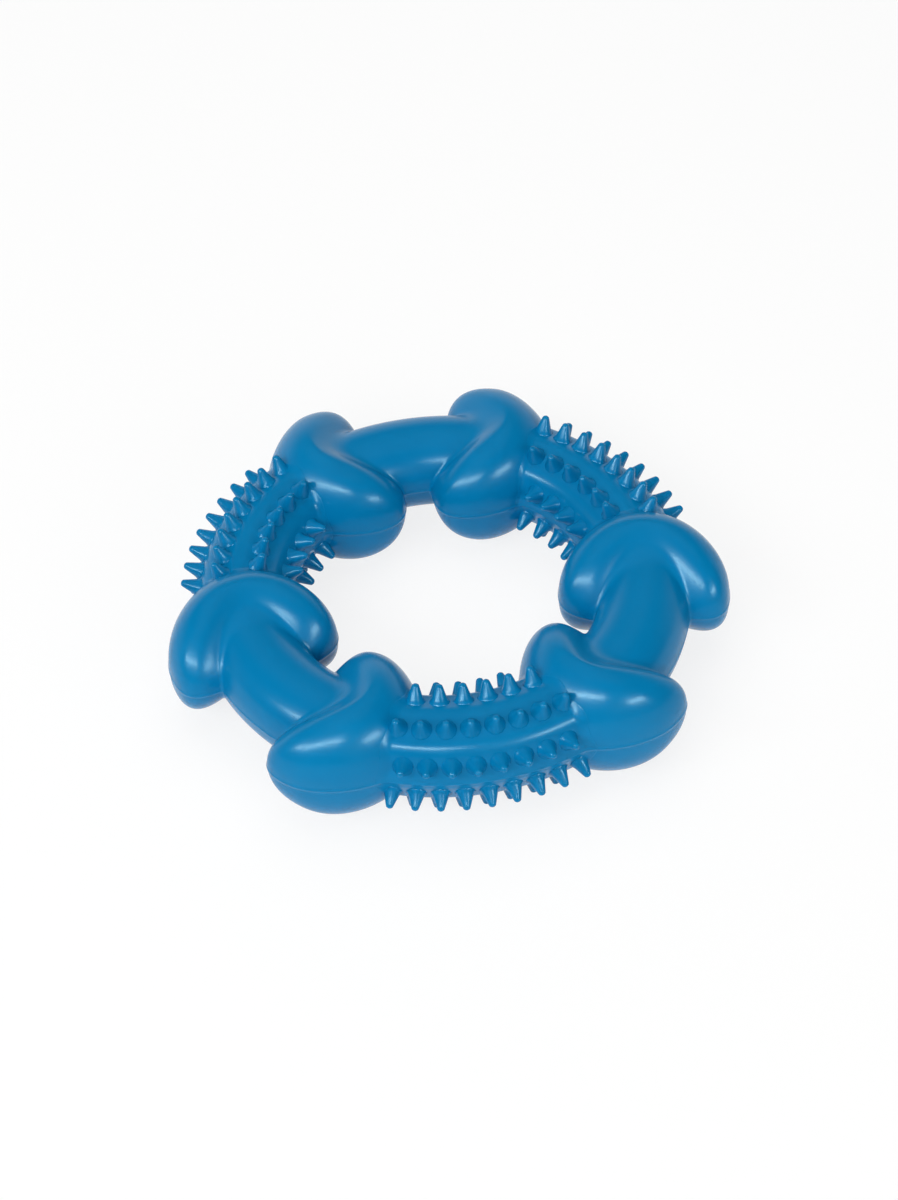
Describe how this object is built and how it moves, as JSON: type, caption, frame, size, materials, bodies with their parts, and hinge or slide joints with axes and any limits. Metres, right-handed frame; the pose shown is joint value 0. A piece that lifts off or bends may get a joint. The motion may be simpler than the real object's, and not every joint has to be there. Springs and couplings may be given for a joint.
{
  "type": "rubber chew toy",
  "caption": "Solid rubber chew ring for dogs: smooth bone-shaped stretches with domed heads alternate with spiked stretches that rub the teeth.",
  "frame": {"origin": "centre of the ring, on the mould line half way up", "axes": "+Z along the ring's axis, upwards; +Y through the middle of one bone; -Y through the middle of one spiked link"},
  "size_m": [0.1294, 0.1224, 0.0286],
  "materials": {
    "rubber": "moulded satin blue rubber"
  },
  "bodies": {
    "root": {"bone_back": "rubber", "bone_left": "rubber", "bone_right": "rubber", "spiked_link_front": "rubber", "spiked_link_left": "rubber", "spiked_link_right": "rubber"}
  },
  "joints": []
}
